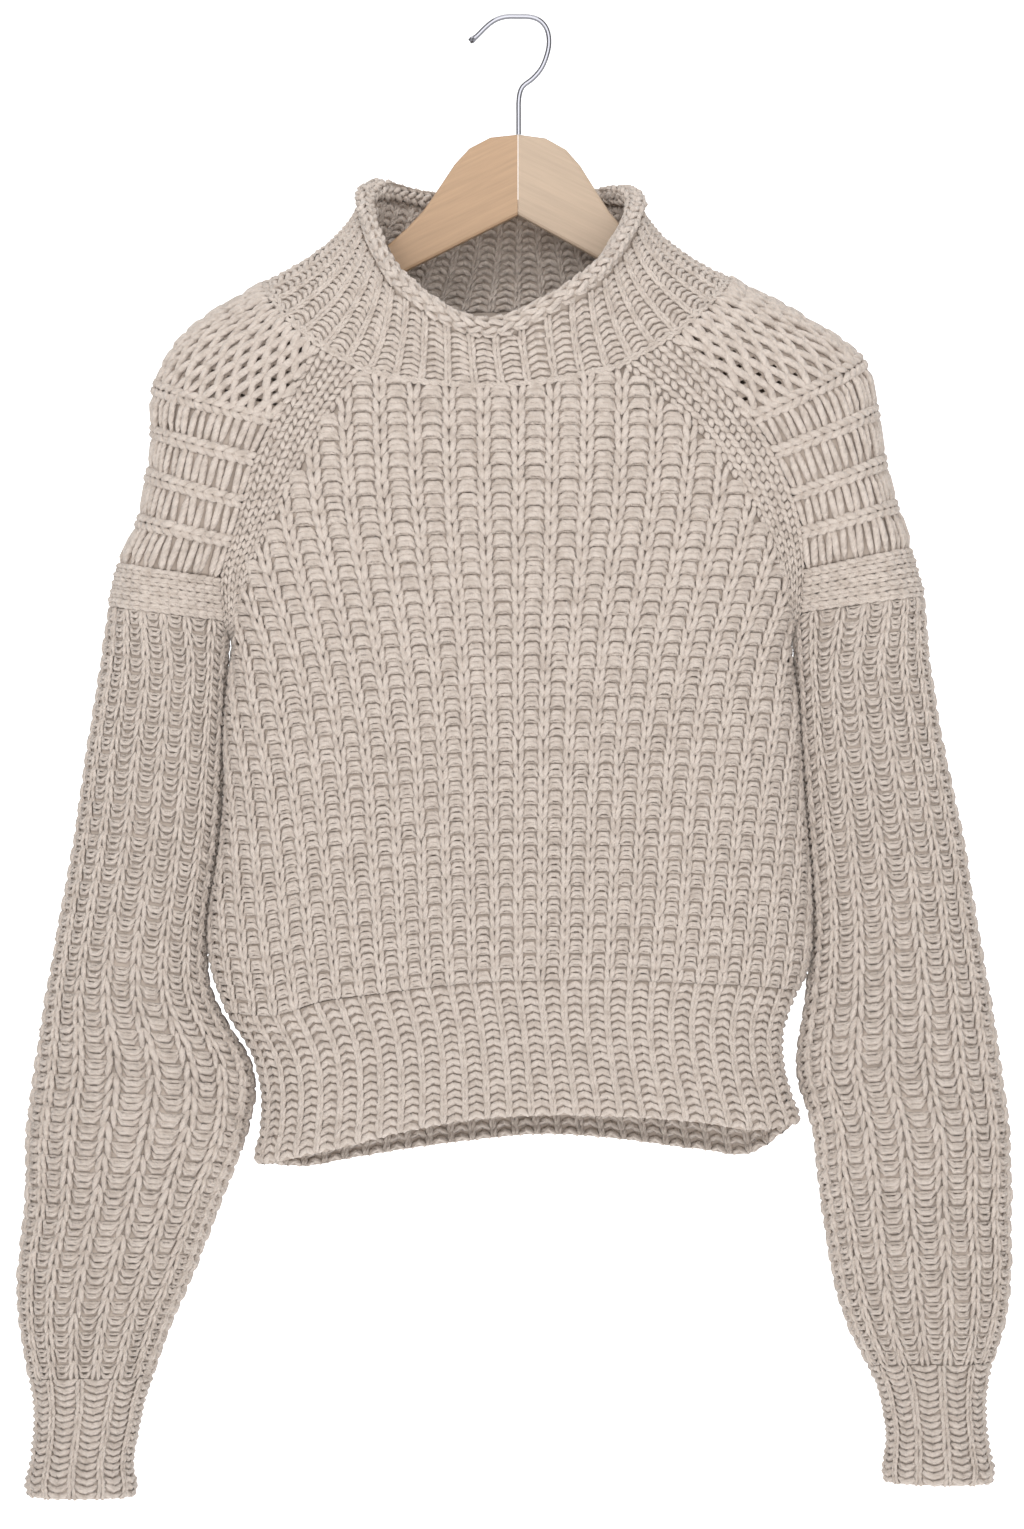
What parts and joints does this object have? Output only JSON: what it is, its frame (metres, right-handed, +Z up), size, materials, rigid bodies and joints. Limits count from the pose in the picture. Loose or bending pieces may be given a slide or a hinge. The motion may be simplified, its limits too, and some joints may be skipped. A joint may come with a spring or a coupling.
{
  "type": "knitted sweater on a clothes hanger",
  "caption": "Chunky rib-knit pullover with a rolled funnel neck, raglan bands, openwork shoulders and balloon sleeves, hanging on a wooden hanger with a wire hook",
  "frame": {"origin": "inner top of the hanger's hook, where the rail bears", "axes": "+Z up, the sweater's front faces -Y, +X to the right as seen from the front"},
  "size_m": [0.6147, 0.1125, 0.9192],
  "materials": {
    "knit": "chunky wool-blend knit, matt and slightly fuzzy",
    "wood_left": "beech with a thin satin lacquer",
    "wood_right": "beech with a thin satin lacquer, lighter half",
    "hook": "polished chromed wire"
  },
  "bodies": {
    "root": {"front": "knit", "back": "knit", "hem_rib_front": "knit", "hem_rib_back": "knit", "raglan_band_front_left": "knit", "raglan_band_back_left": "knit", "raglan_band_front_right": "knit", "raglan_band_back_right": "knit", "yoke_left": "knit", "yoke_right": "knit", "welt_left": "knit", "welt_right": "knit", "sleeve_left": "knit", "sleeve_right": "knit", "cuff_left": "knit", "cuff_right": "knit", "collar": "knit", "hanger_arm_left": "wood_left", "hanger_arm_right": "wood_right", "hook": "hook"}
  },
  "joints": []
}
